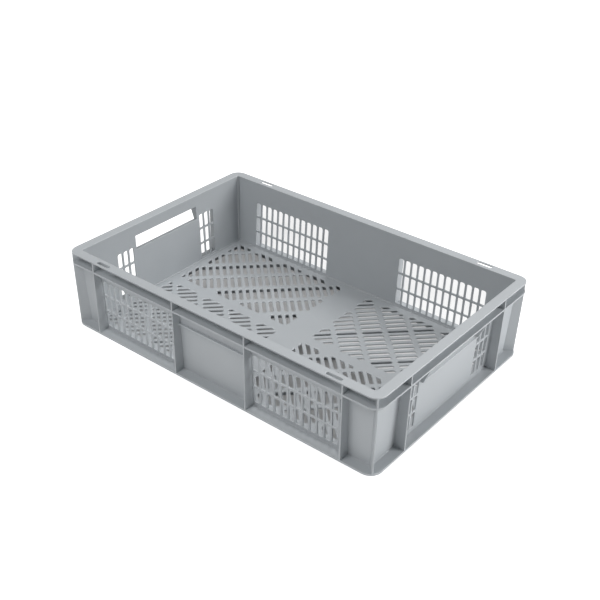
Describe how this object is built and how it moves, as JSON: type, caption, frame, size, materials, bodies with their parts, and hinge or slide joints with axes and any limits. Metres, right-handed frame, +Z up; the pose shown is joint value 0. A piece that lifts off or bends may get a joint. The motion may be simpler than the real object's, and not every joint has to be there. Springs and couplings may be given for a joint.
{
  "type": "poultry transport crate",
  "caption": "Open-topped ventilated stacking crate with slotted walls and floor, hand holes in the ends, a flat rim, outside ribs and a stepped stacking foot.",
  "frame": {"origin": "centre of the underside of the stacking foot", "axes": "+X along the length, +Y towards the back long wall, +Z up out of the open top"},
  "size_m": [0.6, 0.4, 0.145],
  "materials": {
    "grey_plastic": "satin moulded polyolefin with a fine grain"
  },
  "bodies": {
    "root": {"rim_front": "grey_plastic", "rim_back": "grey_plastic", "rim_left": "grey_plastic", "rim_right": "grey_plastic", "band_front": "grey_plastic", "band_back": "grey_plastic", "band_left": "grey_plastic", "band_right": "grey_plastic", "front_centre_panel": "grey_plastic", "front_vents_left": "grey_plastic", "front_vents_right": "grey_plastic", "front_corner_panels": "grey_plastic", "back_centre_panel": "grey_plastic", "back_vents_left": "grey_plastic", "back_vents_right": "grey_plastic", "back_corner_panels": "grey_plastic", "left_end_panel": "grey_plastic", "left_grip_strip": "grey_plastic", "left_vents": "grey_plastic", "left_corner_panels": "grey_plastic", "right_end_panel": "grey_plastic", "right_grip_strip": "grey_plastic", "right_vents": "grey_plastic", "right_corner_panels": "grey_plastic", "front_grip_lip": "grey_plastic", "back_grip_lip": "grey_plastic", "left_grip_lip": "grey_plastic", "right_grip_lip": "grey_plastic", "left_grip_gussets": "grey_plastic", "right_grip_gussets": "grey_plastic", "front_ribs": "grey_plastic", "back_ribs": "grey_plastic", "left_ribs": "grey_plastic", "right_ribs": "grey_plastic", "corner_fin_front_left": "grey_plastic", "corner_fin_front_right": "grey_plastic", "corner_fin_back_left": "grey_plastic", "corner_fin_back_right": "grey_plastic", "floor_front_left": "grey_plastic", "floor_front_right": "grey_plastic", "floor_back_left": "grey_plastic", "floor_back_right": "grey_plastic", "base_flange_front": "grey_plastic", "base_flange_back": "grey_plastic", "base_flange_left": "grey_plastic", "base_flange_right": "grey_plastic", "foot_front": "grey_plastic", "foot_back": "grey_plastic", "foot_left": "grey_plastic", "foot_right": "grey_plastic"}
  },
  "joints": []
}
